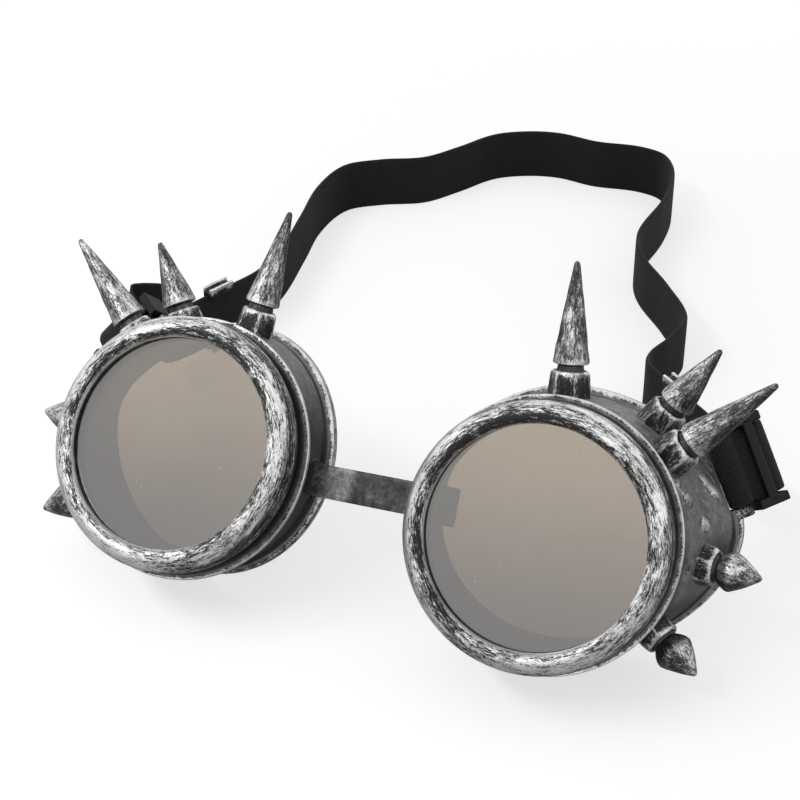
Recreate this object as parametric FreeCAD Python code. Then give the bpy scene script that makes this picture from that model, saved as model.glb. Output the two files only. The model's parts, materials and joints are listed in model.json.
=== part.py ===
import FreeCAD, Part
import math
import os
from FreeCAD import Matrix, Placement, Rotation, Vector

# Round-lens costume goggles lying on a table: two spiked eye cups joined by a flexible bridge strip,
# each with a screw-on front ring that traps a tinted lens, and an elastic head strap behind them.
# X runs along the line of the two lenses, Y goes back from the lenses to the strap, Z is up.
# One cup is drawn in its own frame: x to the temple, y back from the lens front, z up.

# Layout of the two cups, lengths in millimetres and turns in degrees
lens_spacing = 93.0
right_tilt = 30.5
left_tilt = 37.9
toe_out = 2.15

# Fits
overrun = 2.0
thread_clearance = 0.08
peg_clearance = 0.05
seat_gap = 0.15
free_gap = 0.3

# Lens, gasket and the threaded collar that carries them
window_radius = 25.0
lens_overlap = 3.7
lens_thickness = 2.2
gasket_thickness = 1.0
collar_step = 0.3
collar_wall = 2.6

# Front ring: walls are measured outward from its thread
ring_depth = 8.2
ring_rise = 2.6
ring_lip = 0.8
ring_bulge_wall = 2.15
ring_waist_wall = 1.5
ring_step_rise = 0.5
ring_shoulder_wall = 1.7
ring_skirt_wall = 1.1
bulge_end_share = 0.07
waist_share = 0.18
shoulder_share = 0.66
skirt_share = 0.72
crown_steps = 5
ledge_steps = 2

# Eye cup: lip behind the ring, tapered wall and the oval rim that meets the face
groove_width = 0.5
lip_width = 1.3
lip_height = 1.3
lip_proud = 1.25
cup_wall = 2.3
rim_outer = 39.9
rim_inner = 33.4
rim_top = 33.2
rim_bottom = 31.4
rim_lift = 1.6
rim_depth = 33.0
rim_turn = 12.0
rim_width = 5.0
rim_step = 1.8
rim_chamfer = 0.7
rim_land = 2.3
wall_steps = 4

# Spikes, studs and the six-sided bosses they plug into
boss_radius = 4.9
boss_foot_radius = 5.8
boss_height = 5.9
stud_boss_height = 3.4
boss_chamfer = 0.7
boss_root = 4.0
boss_sides = 6
peg_radius = 2.0
peg_length = 3.5
neck_radius = 3.3
neck_height = 1.4
spike_flare = 0.4
spike_radius = 4.3
spike_band = 0.8
spike_tip = 0.75
spike_nib = 0.35
spike_flat_count = 16
long_spike = 24.3
short_spike = 17.1
stud_radius = 4.7
stud_length = 10.2
stud_neck_height = 0.8
stud_tip = 0.4
stud_belly_share = 0.3
stud_foot_steps = 2
stud_nose_steps = 4
stud_nose_power = 1.25

# Where they stand on a cup: clock angle from the top to the temple, depth as a share of rim_depth
# and forward lean
spike_place_shares = {
    "spike_top": (-5.5, 0.657, 7.4),
    "spike_brow_rear": (31.4, 0.839, 12.8),
    "spike_brow_front": (46.0, 0.525, 13.9),
    "stud_side": (90.7, 0.740, 11.0),
    "stud_low": (122.4, 0.610, 11.0),
}

# Bridge strip
strip_height = 6.8
strip_thickness = 1.4
strip_depth = 17.5
strip_lift = 0.8
strip_play = 0.4
strip_free = 3.0
head_height = 8.6
head_length = 4.5
head_gap = 1.0

# Strap lug on the temple side of each cup
lug_clock = 59.0
bar_radius = 1.5
bar_standoff = 2.4
ear_width = 2.6
ear_margin = 2.2
ear_thickness = 3.8
ear_round_share = 0.47
lug_depth_in = 4.0
slot_floor = 1.5

# Elastic strap and the two kinds of slider on it
strap_width = 17.5
strap_thickness = 1.3
layer_gap = 0.2
right_swing = 25.0
left_swing = 10.0
fold_angle = 45.0
wrap_step = 30.0
end_length = 9.2
right_turn_start = 9.0
left_turn_start = 13.0
right_turn_pitch = 0.0
left_turn_pitch = 38.0
turn_radius = 4.0
turn_angle = 95.0
turn_steps = 5
glide_start = 3.2
glide_bar = 1.6
glide_centre_bar = 2.6
glide_gap = 1.1
glide_bar_thickness = 1.5
glide_rail = 2.3
slide_length = 9.0
slide_plate = 0.9
slide_end = 1.9
slide_web_share = 0.45
slide_lip = 1.2
strap_reach = 264.0
strap_spread = 100.0
run_half = 11.0
spline_steps = 3
drop_steps = 8

# Where the strap lies, seen from above: shares of strap_spread across and of strap_reach back
right_run_share = (0.50, 0.418)
right_run_heading = -40.0
left_run_share = (-0.925, 0.417)
left_run_heading = 70.0
route_shares = [
    (0.37, 0.487), (0.395, 0.530), (0.405, 0.583), (0.30, 0.645), (0.17, 0.708),
    (0.118, 0.765), (0.125, 0.860), (0.10, 0.935), (0.03, 0.985), (-0.07, 0.997),
    (-0.22, 0.990), (-0.36, 0.996), (-0.47, 0.985), (-0.57, 0.958), (-0.65, 0.902),
    (-0.73, 0.855), (-0.86, 0.826), (-0.955, 0.792), (-0.97, 0.723), (-0.93, 0.640),
    (-0.89, 0.550),
]

# Sizes that follow from the ones above
lens_radius = window_radius + lens_overlap
collar_radius = lens_radius + collar_step
collar_bore = collar_radius - collar_wall
collar_front = lens_thickness + gasket_thickness + seat_gap
ring_bore = collar_radius + thread_clearance
ring_radius = ring_bore + ring_bulge_wall
lip_front = ring_depth + groove_width
lip_back = lip_front + lip_width
lip_radius = ring_radius + lip_proud
body_radius = lip_radius - lip_height
strap_half = strap_width / 2
layer_offset = (strap_thickness + layer_gap) / 2
front_axis = Vector(0, -1, 0)
up_axis = Vector(0, 0, 1)
sides = {
    "right": (1, right_tilt, right_swing, right_turn_start, right_turn_pitch),
    "left": (-1, left_tilt, left_swing, left_turn_start, left_turn_pitch),
}


def oval(outer, inner, top, bottom, back, lift, turn):
    """Closed outline of four quarter ellipses across the cup's axis, set back by `back`."""
    middle = math.cos(math.radians(45))
    arc = Part.Arc(Vector(1, 0, 0), Vector(middle, 0, middle), Vector(0, 0, 1)).toShape()
    edges = []
    for across, upward in ((outer, top), (-inner, top), (-inner, -bottom), (outer, -bottom)):
        stretch = Matrix()
        stretch.A11 = across
        stretch.A33 = upward
        edges.append(arc.transformGeometry(stretch))
    wire = Part.Wire(edges)
    wire.Placement = Placement(Vector(0, back, lift), Rotation(up_axis, turn))
    return wire


def rim_outline(inset, ahead):
    """The oval rim's outline, drawn in by `inset` and moved `ahead` of its back face."""
    return oval(rim_outer - inset, rim_inner - inset, rim_top - inset, rim_bottom - inset,
                rim_depth - ahead, rim_lift, rim_turn)


def rim_reach(clock, inset=0):
    """Distance from the cup's axis to the rim outline at a clock angle from the top to the temple."""
    across = math.sin(math.radians(clock))
    upward = math.cos(math.radians(clock))
    half_width = (rim_outer if across > 0 else rim_inner) - inset
    half_height = (rim_top if upward > 0 else rim_bottom) - inset
    a = (across / half_width) ** 2 + (upward / half_height) ** 2
    b = -2 * upward * rim_lift / half_height ** 2
    c = (rim_lift / half_height) ** 2 - 1
    return (-b + math.sqrt(b * b - 4 * a * c)) / (2 * a)


def wall_reach(clock, depth):
    """Distance from the cup's axis to the outside of its tapered wall."""
    far = rim_reach(clock, rim_step)
    across = far * math.sin(math.radians(clock))
    far_depth = rim_depth - rim_width + across * math.tan(math.radians(rim_turn))
    return body_radius + (far - body_radius) * (depth - lip_back) / (far_depth - lip_back)


def turned(outline):
    """Solid turned about the cup's axis from a closed outline of (radius, depth) points."""
    corners = [Vector(radius, depth, 0) for radius, depth in outline]
    return Part.Face(Part.makePolygon(corners + corners[:1])).revolve(Vector(0, 0, 0), Vector(0, 1, 0), 360)


def swell(start, end, rise, steps):
    """Points of half an oval from `start` to `end` that stands out by the vector `rise`."""
    points = []
    for i in range(steps + 1):
        a = math.pi * i / steps
        along = (1 - math.cos(a)) / 2
        points.append(tuple(s + (e - s) * along + r * math.sin(a) for s, e, r in zip(start, end, rise)))
    return points


def lathed(rows, flats):
    """Solid along z through regular outlines given as (corner radius, height) rows, with flat sides."""
    rings = []
    for radius, height in rows:
        turns = [2 * math.pi * i / flats for i in range(flats)]
        rings.append([Vector(radius * math.cos(a), radius * math.sin(a), height) for a in turns])
    outlines = [rings[0], rings[-1]]
    for low, high in zip(rings, rings[1:]):
        outlines += [[low[i - 1], low[i], high[i], high[i - 1]] for i in range(flats)]
    faces = [Part.Face(Part.makePolygon(corners + corners[:1])) for corners in outlines]
    return Part.makeSolid(Part.makeShell(faces))


def tube(outer, inner, start, end):
    """Ring around the cup's axis between two depths."""
    back = Vector(0, 1, 0)
    blank = Part.makeCylinder(outer, end - start, Vector(0, start, 0), back)
    hole = Part.makeCylinder(inner, end - start + 2 * overrun, Vector(0, start - overrun, 0), back)
    return blank.cut(hole)


def lens():
    return Part.makeCylinder(lens_radius, lens_thickness, Vector(0, 0, 0), Vector(0, 1, 0))


def gasket():
    return tube(lens_radius, collar_bore, lens_thickness, lens_thickness + gasket_thickness)


def front_ring():
    """Screw-on ring: rounded crown, waist, second step and plain skirt over the collar's thread."""
    skirt = ring_bore + ring_skirt_wall
    lip_edge = (window_radius, -seat_gap - ring_lip)
    crown_end = (ring_radius, bulge_end_share * ring_depth)
    waist = (ring_bore + ring_waist_wall, waist_share * ring_depth)
    shoulder = (ring_bore + ring_shoulder_wall, shoulder_share * ring_depth)
    outline = [(window_radius, -seat_gap)]
    outline += swell(lip_edge, crown_end, (0, -ring_rise), crown_steps)
    outline += swell(waist, shoulder, (ring_step_rise, 0), ledge_steps)
    outline += [(skirt, skirt_share * ring_depth), (skirt, ring_depth)]
    outline += [(ring_bore, ring_depth), (ring_bore, -seat_gap)]
    return turned(outline)


def spike_seat(name):
    """Placement of a boss: its foot on the cup wall, its z axis out of the wall and leaning forward."""
    clock, depth_share, lean = spike_place_shares[name]
    depth = depth_share * rim_depth
    a = math.radians(clock)
    outward = Vector(math.sin(a), 0, math.cos(a))
    foot = outward * wall_reach(clock, depth) + Vector(0, depth, 0)
    tilt = math.radians(lean)
    return Placement(foot, Rotation(up_axis, outward * math.cos(tilt) + front_axis * math.sin(tilt)))


def boss(height):
    """Tapered six-sided seat with a bevelled top edge."""
    rows = [(boss_foot_radius, -boss_root), (boss_radius, height - boss_chamfer),
            (boss_radius - boss_chamfer, height)]
    return lathed(rows, boss_sides)


def peg_hole(height):
    radius = peg_radius + peg_clearance
    return lathed([(radius, height - peg_length - seat_gap), (radius, height + overrun)], spike_flat_count)


def pegged(rows):
    """A lathed piece whose first row rests on a boss, with the peg that plugs into it."""
    foot = rows[0][1]
    return lathed([(peg_radius, foot - peg_length), (peg_radius, foot)] + rows, spike_flat_count)


def spike(cone_length):
    """Cone on a short neck."""
    base = boss_height + neck_height
    tip = base + cone_length
    return pegged([
        (neck_radius, boss_height),
        (neck_radius, base),
        (spike_radius, base + spike_flare),
        (spike_radius, base + spike_flare + spike_band),
        (spike_tip, tip - spike_tip),
        (spike_nib, tip),
    ])


def stud():
    """Short acorn-shaped stud: a swelling foot and a pointed nose."""
    base = stud_boss_height + stud_neck_height
    belly = stud_belly_share * stud_length
    rows = [(neck_radius, stud_boss_height)]
    for i in range(stud_foot_steps):
        share = i / stud_foot_steps
        swelling = math.sin(share * math.pi / 2)
        rows.append((neck_radius + (stud_radius - neck_radius) * swelling, base + share * belly))
    for i in range(stud_nose_steps + 1):
        share = i / stud_nose_steps
        radius = stud_tip + (stud_radius - stud_tip) * (1 - share ** stud_nose_power)
        rows.append((radius, base + belly + share * (stud_length - belly)))
    return pegged(rows)


# Height of the boss under each piece and the function that draws the piece
spike_shapes = {
    "spike_top": (boss_height, lambda: spike(long_spike)),
    "spike_brow_rear": (boss_height, lambda: spike(short_spike)),
    "spike_brow_front": (boss_height, lambda: spike(long_spike)),
    "stud_side": (stud_boss_height, stud),
    "stud_low": (stud_boss_height, stud),
}


def lug_frame():
    """Frame of the strap lug: x out from the cup's axis, y back, z along the strap bar."""
    rim = Placement(Vector(0, rim_depth, 0), Rotation(up_axis, rim_turn))
    return rim * Placement(Vector(0, 0, 0), Rotation(Vector(0, 1, 0), lug_clock - 90))


def bar_centre():
    return Vector(rim_reach(lug_clock) + bar_standoff, -rim_width / 2, 0)


def lug_ears():
    reach = rim_reach(lug_clock)
    length = strap_width + 2 * (free_gap + ear_width)
    centre = bar_centre()
    start = Vector(reach - lug_depth_in, centre.y - ear_thickness / 2, -length / 2)
    block = Part.makeBox(centre.x + ear_margin - start.x, ear_thickness, length, start)
    outer_edges = [e for e in block.Edges
                   if e.BoundBox.XMin > centre.x and e.BoundBox.YLength > ear_thickness / 2]
    return block.makeFillet(ear_margin * ear_round_share, outer_edges)


def lug_slot():
    reach = rim_reach(lug_clock)
    length = strap_width + 2 * free_gap
    start = Vector(reach - slot_floor, -rim_width - overrun, -length / 2)
    width = bar_standoff + slot_floor + ear_margin + overrun
    return Part.makeBox(width, rim_width + 2 * overrun, length, start)


def strap_bar():
    length = strap_width + 2 * free_gap + ear_width
    return Part.makeCylinder(bar_radius, length, bar_centre() - Vector(0, 0, length / 2), up_axis)


def strip_wall():
    return wall_reach(-90, strip_depth)


def strip_slot():
    height = strip_height + 2 * strip_play
    thickness = strip_thickness + 2 * strip_play
    start = Vector(-strip_wall() - overrun, strip_depth - thickness / 2, strip_lift - height / 2)
    return Part.makeBox(cup_wall + lip_height + 2 * overrun, thickness, height, start)


def wall_outline(share, inset):
    """Outline of the tapered wall, `share` of the way from the round lip to the oval rim."""
    def reach(rim_half):
        return (1 - share) * body_radius + share * (rim_half - rim_step) - inset
    back = (1 - share) * lip_back + share * (rim_depth - rim_width)
    return oval(reach(rim_outer), reach(rim_inner), reach(rim_top), reach(rim_bottom),
                back, share * rim_lift, share * rim_turn)


def cup():
    """Eye cup: collar, lip, tapered oval wall with a stepped rim, spike bosses and strap lug."""
    back = Vector(0, 1, 0)
    wall_shares = [i / wall_steps for i in range(wall_steps + 1)]
    shell = Part.makeLoft([wall_outline(share, 0) for share in wall_shares] + [
        rim_outline(0, rim_width - rim_step),
        rim_outline(0, rim_chamfer),
        rim_outline(rim_chamfer, 0),
    ], True, True)
    pieces = [
        Part.makeCylinder(collar_radius, lip_front - collar_front + overrun,
                          Vector(0, collar_front, 0), back),
        Part.makeCylinder(lip_radius, lip_width, Vector(0, lip_front, 0), back),
    ]
    ears = lug_ears()
    ears.Placement = lug_frame() * ears.Placement
    pieces.append(ears)
    for name, (height, draw) in spike_shapes.items():
        lump = boss(height)
        lump.Placement = spike_seat(name)
        pieces.append(lump)
    blank = shell.multiFuse(pieces)
    hollow = Part.makeLoft([wall_outline(share, cup_wall) for share in wall_shares] + [
        rim_outline(rim_chamfer + rim_land, 0),
        rim_outline(rim_chamfer + rim_land, -overrun),
    ], True, True)
    bore = Part.makeCylinder(collar_bore, lip_back - collar_front + 2 * overrun,
                             Vector(0, collar_front - overrun, 0), back)
    cuts = [hollow, bore, strip_slot()]
    slot = lug_slot()
    slot.Placement = lug_frame() * slot.Placement
    cuts.append(slot)
    for name, (height, draw) in spike_shapes.items():
        hole = peg_hole(height)
        hole.Placement = spike_seat(name)
        cuts.append(hole)
    body = blank.cut(cuts)
    bar = strap_bar()
    bar.Placement = lug_frame() * bar.Placement
    return body.fuse(bar).removeSplitter()


def lowest_rim_point(tilt):
    """How far the rim of a cup tilted by `tilt` reaches below its lens centre."""
    turn = Rotation(Vector(1, 0, 0), -tilt)
    outlines = (rim_outline(0, rim_chamfer), rim_outline(rim_chamfer, 0))
    return max(-turn.multVec(p).z for outline in outlines for p in outline.discretize(360))


def cup_place(side):
    sign, tilt = sides[side][:2]
    turn = Rotation(up_axis, sign * toe_out) * Rotation(Vector(1, 0, 0), -tilt)
    return Placement(Vector(sign * lens_spacing / 2, 0, lowest_rim_point(tilt)), turn)


def point_on(side, point):
    """A point of the cup's own frame, set on the table."""
    return cup_place(side).multVec(Vector(sides[side][0] * point.x, point.y, point.z))


def direction_on(side, direction):
    return cup_place(side).Rotation.multVec(Vector(sides[side][0] * direction.x, direction.y, direction.z))


def seated(shape, side):
    """A shape of the cup's own frame, mirrored for the left and set on the table."""
    if side == "left":
        shape = shape.mirror(Vector(0, 0, 0), Vector(1, 0, 0))
    shape.Placement = cup_place(side) * shape.Placement
    return shape


def strip_section(side, inboard):
    """Outline of the bridge strip where it leaves a cup, `inboard` of the cup's wall."""
    across = -(strip_wall() + inboard)
    corners = [Vector(across, strip_depth + y * strip_thickness / 2, strip_lift + z * strip_height / 2)
               for y, z in ((-1, -1), (1, -1), (1, 1), (-1, 1))]
    corners = [point_on(side, c) for c in corners]
    return Part.makePolygon(corners + corners[:1])


def strip_end(side):
    """The part of the bridge strip inside one cup: the run through the slot and the wider head."""
    wall = strip_wall()
    head_start = wall - cup_wall - head_gap
    near_face = strip_depth - strip_thickness / 2
    run = Part.makeBox(strip_free + cup_wall + head_gap, strip_thickness, strip_height,
                       Vector(-wall - strip_free, near_face, strip_lift - strip_height / 2))
    head = Part.makeBox(head_length, strip_thickness, head_height,
                        Vector(-head_start, near_face, strip_lift - head_height / 2))
    return seated(run.fuse(head), side)


def bridge_strip():
    ends = [strip_section(side, strip_free) for side in sides]
    span = Part.makeLoft(ends, True, True)
    return span.multiFuse([strip_end("right"), strip_end("left")]).removeSplitter()


def tab_frame(side):
    """Frame of the strap at a lug: x out along the strap, y behind it, z up along the bar."""
    return lug_frame() * Placement(bar_centre(), Rotation(up_axis, sides[side][2]))


def tab_point(side, out, ahead, up=0):
    return point_on(side, tab_frame(side).multVec(Vector(out, -ahead, up)))


def tab_direction(side, out, ahead, up=0):
    return direction_on(side, tab_frame(side).Rotation.multVec(Vector(out, -ahead, up)))


def lug_loop(side):
    """Strap stations from its cut end, in round the bar and out to the front layer."""
    wrap = bar_radius + free_gap + strap_thickness / 2
    fold = math.radians(fold_angle)
    fold_reach = wrap * math.cos(fold) + (wrap * math.sin(fold) - layer_offset) / math.tan(fold)
    stations = [(end_length, -layer_offset), (fold_reach, -layer_offset)]
    steps = round((360 - 2 * fold_angle) / wrap_step)
    for i in range(steps + 1):
        a = -fold - math.radians(i * (360 - 2 * fold_angle) / steps)
        stations.append((wrap * math.cos(a), wrap * math.sin(a)))
    stations.append((fold_reach, layer_offset))
    return [tab_point(side, out, ahead) for out, ahead in stations]


def turn_back(side):
    """Strap stations where it turns back behind a slider, in a plane pitched up from the cup's own,
    and the way it leaves."""
    turn_start, turn_pitch = sides[side][3:]
    pitch = math.radians(turn_pitch)
    stations = []
    for i in range(turn_steps + 1):
        a = math.radians(i * turn_angle / turn_steps)
        out = turn_start + turn_radius * math.sin(a)
        back = turn_radius * (1 - math.cos(a))
        stations.append(tab_point(side, out, layer_offset - back * math.cos(pitch), back * math.sin(pitch)))
    a = math.radians(turn_angle)
    back = math.sin(a)
    return stations, tab_direction(side, math.cos(a), -back * math.cos(pitch), back * math.sin(pitch))


def smooth(points, start, end, steps):
    """Stations on a smooth curve through `points` that leaves along `start` and arrives along `end`."""
    spans = [(b - a).Length for a, b in zip(points, points[1:])]
    slopes = [start]
    for i in range(1, len(points) - 1):
        slopes.append((points[i + 1] - points[i - 1]) / (spans[i - 1] + spans[i]))
    slopes.append(end)
    stations = []
    for i, span in enumerate(spans):
        for k in range(steps):
            u = k / steps
            far = 3 * u ** 2 - 2 * u ** 3
            stations.append(points[i] * (1 - far) + points[i + 1] * far
                            + slopes[i] * (span * (u ** 3 - 2 * u ** 2 + u))
                            + slopes[i + 1] * (span * (u ** 3 - u ** 2)))
    return stations + [points[-1]]


def floor_point(share, height):
    return Vector(share[0] * strap_spread, share[1] * strap_reach, height)


def run_line(share, heading):
    """Centre and direction of a straight level run that carries a metal slide on the table."""
    a = math.radians(heading)
    return floor_point(share, strap_half + free_gap + slide_end), Vector(math.cos(a), math.sin(a), 0)


def strap_route():
    """Centre line of the strap from its right cut end to its left one, with the way up across it."""
    right_up = tab_direction("right", 0, 0, 1)
    left_up = tab_direction("left", 0, 0, 1)
    right_turn, right_leaving = turn_back("right")
    left_turn, left_leaving = turn_back("left")
    right_centre, right_way = run_line(right_run_share, right_run_heading)
    left_centre, left_way = run_line(left_run_share, left_run_heading)
    first = lug_loop("right") + right_turn[:-1]
    falling = [right_turn[-1], right_centre + right_way * run_half]
    falling = smooth(falling, right_leaving, right_way * -1, drop_steps)
    middle = [right_centre - right_way * run_half]
    middle += [floor_point(share, strap_half) for share in route_shares]
    middle += [left_centre + left_way * run_half]
    middle = smooth(middle, right_way * -1, left_way * -1, spline_steps)
    middle = [Vector(p.x, p.y, max(p.z, strap_half)) for p in middle]
    rising = [left_centre - left_way * run_half, left_turn[-1]]
    rising = smooth(rising, left_way * -1, left_leaving * -1, drop_steps)
    last = left_turn[-2::-1] + lug_loop("left")[::-1]
    stations = [(p, right_up) for p in first]
    for i, p in enumerate(falling):
        share = i / (len(falling) - 1)
        stations.append((p, right_up * (1 - share) + up_axis * share))
    stations += [(p, up_axis) for p in middle]
    for i, p in enumerate(rising):
        share = i / (len(rising) - 1)
        stations.append((p, up_axis * (1 - share) + left_up * share))
    return stations + [(p, left_up) for p in last]


def strap_sections(stations):
    """Rectangles across the strap at each station."""
    points = [p for p, up in stations]
    wires = []
    for i, (p, up) in enumerate(stations):
        ahead = points[min(i + 1, len(points) - 1)] - p
        behind = p - points[max(i - 1, 0)]
        if i == 0:
            behind = ahead
        if i == len(points) - 1:
            ahead = behind
        ahead.normalize()
        behind.normalize()
        along = ahead + behind
        along.normalize()
        wide = up - along * up.dot(along)
        wide.normalize()
        through = along.cross(wide) * (strap_thickness / 2 / along.dot(ahead))
        wide = wide * strap_half
        corners = [p - wide - through, p - wide + through, p + wide + through, p + wide - through]
        wires.append(Part.makePolygon(corners + corners[:1]))
    return wires


def strap():
    return Part.makeLoft(strap_sections(strap_route()), True, True)


def strap_slider():
    """Moulded slider in the strap's frame: a raised bar ahead of both layers and two bars behind them."""
    inside = layer_offset + strap_thickness / 2 + free_gap
    opening = strap_width + 2 * free_gap
    length = 2 * glide_bar + glide_centre_bar + 2 * glide_gap
    depth = 2 * (inside + glide_bar_thickness)
    frame = Part.makeBox(length, depth, opening + 2 * glide_rail,
                         Vector(glide_start, -depth / 2, -opening / 2 - glide_rail))
    corners = [e for e in frame.Edges if e.BoundBox.XLength > length / 2]
    frame = frame.makeFillet(glide_bar_thickness, corners)
    window = Part.makeBox(length + 2 * overrun, 2 * inside, opening,
                          Vector(glide_start - overrun, -inside, -opening / 2))
    centre_start = glide_start + glide_bar + glide_gap
    cuts = [window]
    for start, end in ((glide_start - overrun, centre_start),
                       (centre_start + glide_centre_bar, glide_start + length + overrun)):
        cuts.append(Part.makeBox(end - start, depth, opening, Vector(start, -depth, -opening / 2)))
    for start in (glide_start + glide_bar, centre_start + glide_centre_bar):
        cuts.append(Part.makeBox(glide_gap, depth, opening, Vector(start, 0, -opening / 2)))
    cuts.append(Part.makeBox(glide_centre_bar, depth, opening,
                             Vector(centre_start, inside - free_gap, -opening / 2)))
    return frame.cut(cuts)


def metal_slide(share, heading):
    """Stamped keeper that slides along a level run of the strap: a plate behind it, and recessed ends
    with lips that hook over its front."""
    centre, way = run_line(share, heading)
    inside = strap_thickness / 2 + free_gap
    opening = strap_width + 2 * free_gap
    height = opening + 2 * slide_end
    depth = 2 * (inside + slide_plate)
    block = Part.makeBox(slide_length, depth, height, Vector(-slide_length / 2, -depth / 2, -height / 2))
    window = Part.makeBox(slide_length + 2 * overrun, 2 * inside, opening,
                          Vector(-slide_length / 2 - overrun, -inside, -opening / 2))
    recess = slide_end * slide_web_share
    between = opening - 2 * slide_lip
    front = Part.makeBox(slide_length + 2 * overrun, depth / 2 + overrun, between,
                         Vector(-slide_length / 2 - overrun, -depth / 2 - overrun, -between / 2))
    cuts = [window, front]
    for end in (height / 2 - recess, -height / 2 - overrun):
        cuts.append(Part.makeBox(slide_length + 2 * overrun, 2 * inside, recess + overrun,
                                 Vector(-slide_length / 2 - overrun, -inside, end)))
    shape = block.cut(cuts)
    shape.Placement = Placement(centre, Rotation(up_axis, heading))
    return shape


def build():
    nodes = {}
    for side in sides:
        nodes[side + "_eye_cup"] = seated(cup(), side)
        nodes[side + "_front_ring"] = seated(front_ring(), side)
        nodes[side + "_lens"] = seated(lens(), side)
        nodes[side + "_lens_gasket"] = seated(gasket(), side)
        for name, (height, draw) in spike_shapes.items():
            shape = draw()
            shape.Placement = spike_seat(name)
            nodes[side + "_" + name] = seated(shape, side)
        slider = strap_slider()
        slider.Placement = tab_frame(side) * slider.Placement
        nodes[side + "_strap_slider"] = seated(slider, side)
    nodes["right_metal_slide"] = metal_slide(right_run_share, right_run_heading)
    nodes["left_metal_slide"] = metal_slide(left_run_share, left_run_heading)
    nodes["bridge_strip"] = bridge_strip()
    nodes["head_strap"] = strap()
    return nodes


def whole_box(nodes):
    box = FreeCAD.BoundBox()
    for shape in nodes.values():
        box.add(shape.optimalBoundingBox())
    return box


os.makedirs("parts", exist_ok=True)
parts = build()
extent = whole_box(parts)
origin = Vector(extent.Center.x, extent.Center.y, extent.ZMin)
for node, shape in parts.items():
    shape.translate(origin * -1)
    shape.exportStep("parts/" + node + ".step")
print("size", round(extent.XLength, 2), round(extent.YLength, 2), round(extent.ZLength, 2))
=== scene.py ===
import json
import math

import bpy
import numpy as np
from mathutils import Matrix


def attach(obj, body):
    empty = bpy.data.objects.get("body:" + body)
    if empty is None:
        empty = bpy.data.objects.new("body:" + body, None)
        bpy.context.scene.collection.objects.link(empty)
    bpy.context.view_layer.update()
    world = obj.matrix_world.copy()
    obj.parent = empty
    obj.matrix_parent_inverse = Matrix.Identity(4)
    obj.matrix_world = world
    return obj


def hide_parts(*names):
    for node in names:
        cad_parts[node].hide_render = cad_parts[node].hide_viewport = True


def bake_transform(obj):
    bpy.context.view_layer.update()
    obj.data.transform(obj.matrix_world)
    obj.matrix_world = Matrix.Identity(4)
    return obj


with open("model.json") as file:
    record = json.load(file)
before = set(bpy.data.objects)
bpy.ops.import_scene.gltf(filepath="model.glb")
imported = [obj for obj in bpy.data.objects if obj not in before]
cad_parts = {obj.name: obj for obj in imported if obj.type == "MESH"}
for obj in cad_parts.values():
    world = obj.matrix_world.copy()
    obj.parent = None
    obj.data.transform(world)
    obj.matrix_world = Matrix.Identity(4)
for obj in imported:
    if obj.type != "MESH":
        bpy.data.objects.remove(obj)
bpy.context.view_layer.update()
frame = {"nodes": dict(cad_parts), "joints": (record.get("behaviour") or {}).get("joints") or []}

# Sizes of the goggles, as in the construction, in metres and degrees
MM = 0.001
lens_radius = 28.7 * MM
lens_thickness = 2.2 * MM
seat_gap = 0.15 * MM
ring_lip = 0.8 * MM
ring_rise = 2.6 * MM
ring_bore = 29.08 * MM
ring_depth = 8.2 * MM
crown_end = (31.23 * MM, 0.574 * MM)
waist = (30.58 * MM, 1.476 * MM)
shoulder = (30.78 * MM, 5.412 * MM)
ring_step_rise = 0.5 * MM
skirt_radius = 30.18 * MM
skirt_start = 5.904 * MM
collar_radius = 29.0 * MM
collar_bore = 26.4 * MM
collar_front = 3.35 * MM
lip_front = 8.7 * MM
lip_back = 10.0 * MM
lip_radius = 32.48 * MM
body_radius = 31.18 * MM
cup_wall = 2.3 * MM
rim_outer = 39.9 * MM
rim_inner = 33.4 * MM
rim_top = 33.2 * MM
rim_bottom = 31.4 * MM
rim_lift = 1.6 * MM
rim_depth = 33.0 * MM
rim_turn = 12.0
rim_width = 5.0 * MM
rim_step = 1.8 * MM
rim_chamfer = 0.7 * MM
rim_land = 2.3 * MM
boss_radius = 4.9 * MM
boss_foot_radius = 5.8 * MM
boss_height = 5.9 * MM
stud_boss_height = 3.4 * MM
boss_chamfer = 0.7 * MM
neck_radius = 3.3 * MM
neck_height = 1.4 * MM
spike_flare = 0.4 * MM
spike_radius = 4.3 * MM
spike_band = 0.8 * MM
spike_tip = 0.75 * MM
long_spike = 24.3 * MM
short_spike = 17.1 * MM
stud_radius = 4.7 * MM
stud_length = 10.2 * MM
stud_neck_height = 0.8 * MM
stud_tip = 0.4 * MM
stud_belly_share = 0.3
stud_nose_power = 1.25
strip_thickness = 1.4 * MM
strip_depth = 17.5 * MM
strip_lift = 0.8 * MM
strip_play = 0.4 * MM
head_length = 4.5 * MM
head_gap = 1.0 * MM
lug_clock = 59.0
bar_radius = 1.5 * MM
bar_standoff = 2.4 * MM
ear_width = 2.6 * MM
ear_margin = 2.2 * MM
ear_thickness = 3.8 * MM
free_gap = 0.3 * MM
strap_width = 17.5 * MM
strap_thickness = 1.3 * MM
layer_offset = 0.75 * MM
end_length = 9.2 * MM
turn_radius = 4.0 * MM
turn_angle = 95.0
fold_angle = 45.0
run_half = 11.0 * MM
slide_length = 9.0 * MM
slide_plate = 0.9 * MM
slide_end = 1.9 * MM
slide_web = 1.045 * MM
slide_lip = 1.2 * MM
glide_start = 3.2 * MM
glide_bar = 1.6 * MM
glide_centre_bar = 2.6 * MM
glide_gap = 1.1 * MM
glide_bar_thickness = 1.5 * MM
glide_rail = 2.3 * MM
strap_spread = 100.0 * MM
strap_reach = 264.0 * MM
swings = {"right": 25.0, "left": 10.0}
turn_starts = {"right": 9.0 * MM, "left": 13.0 * MM}
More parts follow.
